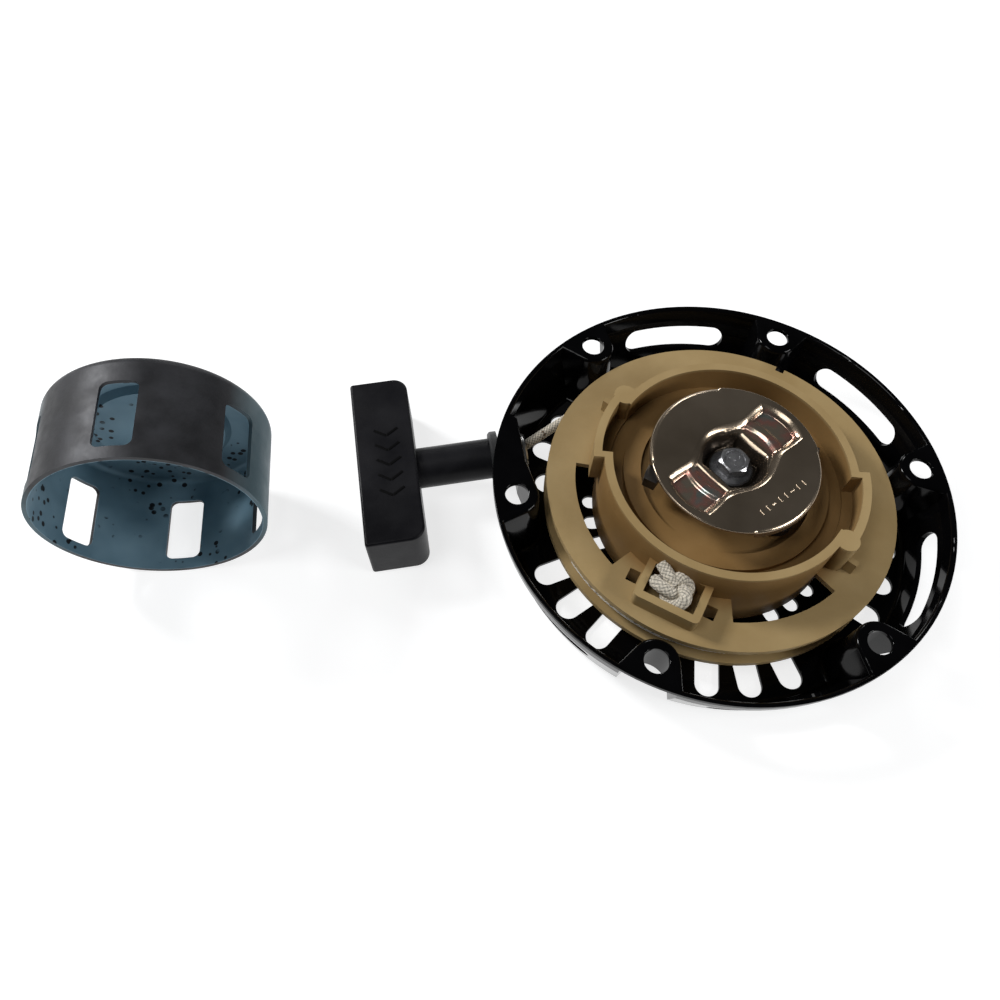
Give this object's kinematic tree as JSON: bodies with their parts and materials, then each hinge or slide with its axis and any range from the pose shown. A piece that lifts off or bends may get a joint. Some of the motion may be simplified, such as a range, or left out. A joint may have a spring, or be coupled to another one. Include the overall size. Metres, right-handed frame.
{
  "type": "recoil starter",
  "caption": "Engine recoil starter: open pressed pan with a moulded rope pulley, pawls, friction plate, rope and T-handle, and its windowed starter cup beside it.",
  "frame": {"origin": "centre of the six-bolt circle on the mounting plane", "axes": "+Z towards the engine along the pulley's axis, +X through a bolt hole, the rope leaves towards -X"},
  "size_m": [0.3271, 0.172, 0.0764],
  "materials": {
    "housing_paint": "gloss",
    "post_steel": "satin",
    "washer_nylon": "satin",
    "spring_steel": "satin",
    "pulley_nylon": "satin",
    "cover_steel": "satin",
    "pawl_steel": "satin",
    "plate_zinc": "gloss",
    "bolt_zinc": "gloss",
    "bush_plastic": "satin",
    "eyelet_steel": "satin",
    "rope_braid": "matte",
    "handle_plastic": "satin",
    "cup_zinc": "gloss"
  },
  "bodies": {
    "housing": {"housing_shell": "housing_paint", "centre_post": "post_steel", "post_rivets": "post_steel", "thrust_washer": "washer_nylon", "mainspring": "spring_steel", "friction_plate": "plate_zinc", "friction_spring": "spring_steel", "plate_washer": "bolt_zinc", "centre_bolt": "bolt_zinc", "rope_guide_bush": "bush_plastic", "guide_eyelet": "eyelet_steel", "rope_run": "rope_braid"},
    "pulley": {"pulley": "pulley_nylon", "spring_cover": "cover_steel", "spring_cover_screws": "cover_steel", "pawl_pins": "pawl_steel", "pawl_spring_a": "spring_steel", "pawl_spring_b": "spring_steel", "rope_winding": "rope_braid", "rope_anchor_knot": "rope_braid"},
    "pawl_a": {"pawl_a": "pawl_steel"},
    "pawl_b": {"pawl_b": "pawl_steel"},
    "handle": {"handle_grip": "handle_plastic", "handle_washer": "bolt_zinc", "handle_knot": "rope_braid", "rope_handle_end": "rope_braid", "handle_cap": "handle_plastic"},
    "cup": {"starter_cup": "cup_zinc"}
  },
  "joints": [
    {"name": "pulley_spin", "type": "hinge", "parent": "housing", "child": "pulley", "pos_m": [0, 0, -0.0105], "axis": [0, 0, 1], "range_deg": [0, 1080], "stiffness_Nm_per_rad": 0.008, "springref_deg": -343.77},
    {"name": "handle_pull", "type": "slide", "parent": "housing", "child": "handle", "axis": [-0.4993, -0.0262, 0.866], "range_m": [0, 1.1579]},
    {"name": "pawl_a_swing", "type": "hinge", "parent": "pulley", "child": "pawl_a", "pos_m": [-0.01297, 0.01923, 0.0099], "axis": [0, 0, 1], "range_deg": [-38, 0], "stiffness_Nm_per_rad": 0.004, "springref_deg": 8.59},
    {"name": "pawl_b_swing", "type": "hinge", "parent": "pulley", "child": "pawl_b", "pos_m": [0.01297, -0.01923, 0.0099], "axis": [0, 0, 1], "range_deg": [-38, 0], "stiffness_Nm_per_rad": 0.004, "springref_deg": 8.59},
    {"name": "cup_lift", "type": "slide", "parent": "housing", "child": "cup", "axis": [0, 0, 1], "range_m": [0, 0.1]}
  ],
  "couplings": [
    {"joint": "handle_pull", "follows": "pulley_spin", "m_per_rad": 0.0614},
    {"joint": "pawl_b_swing", "follows": "pawl_a_swing", "ratio": 1}
  ]
}
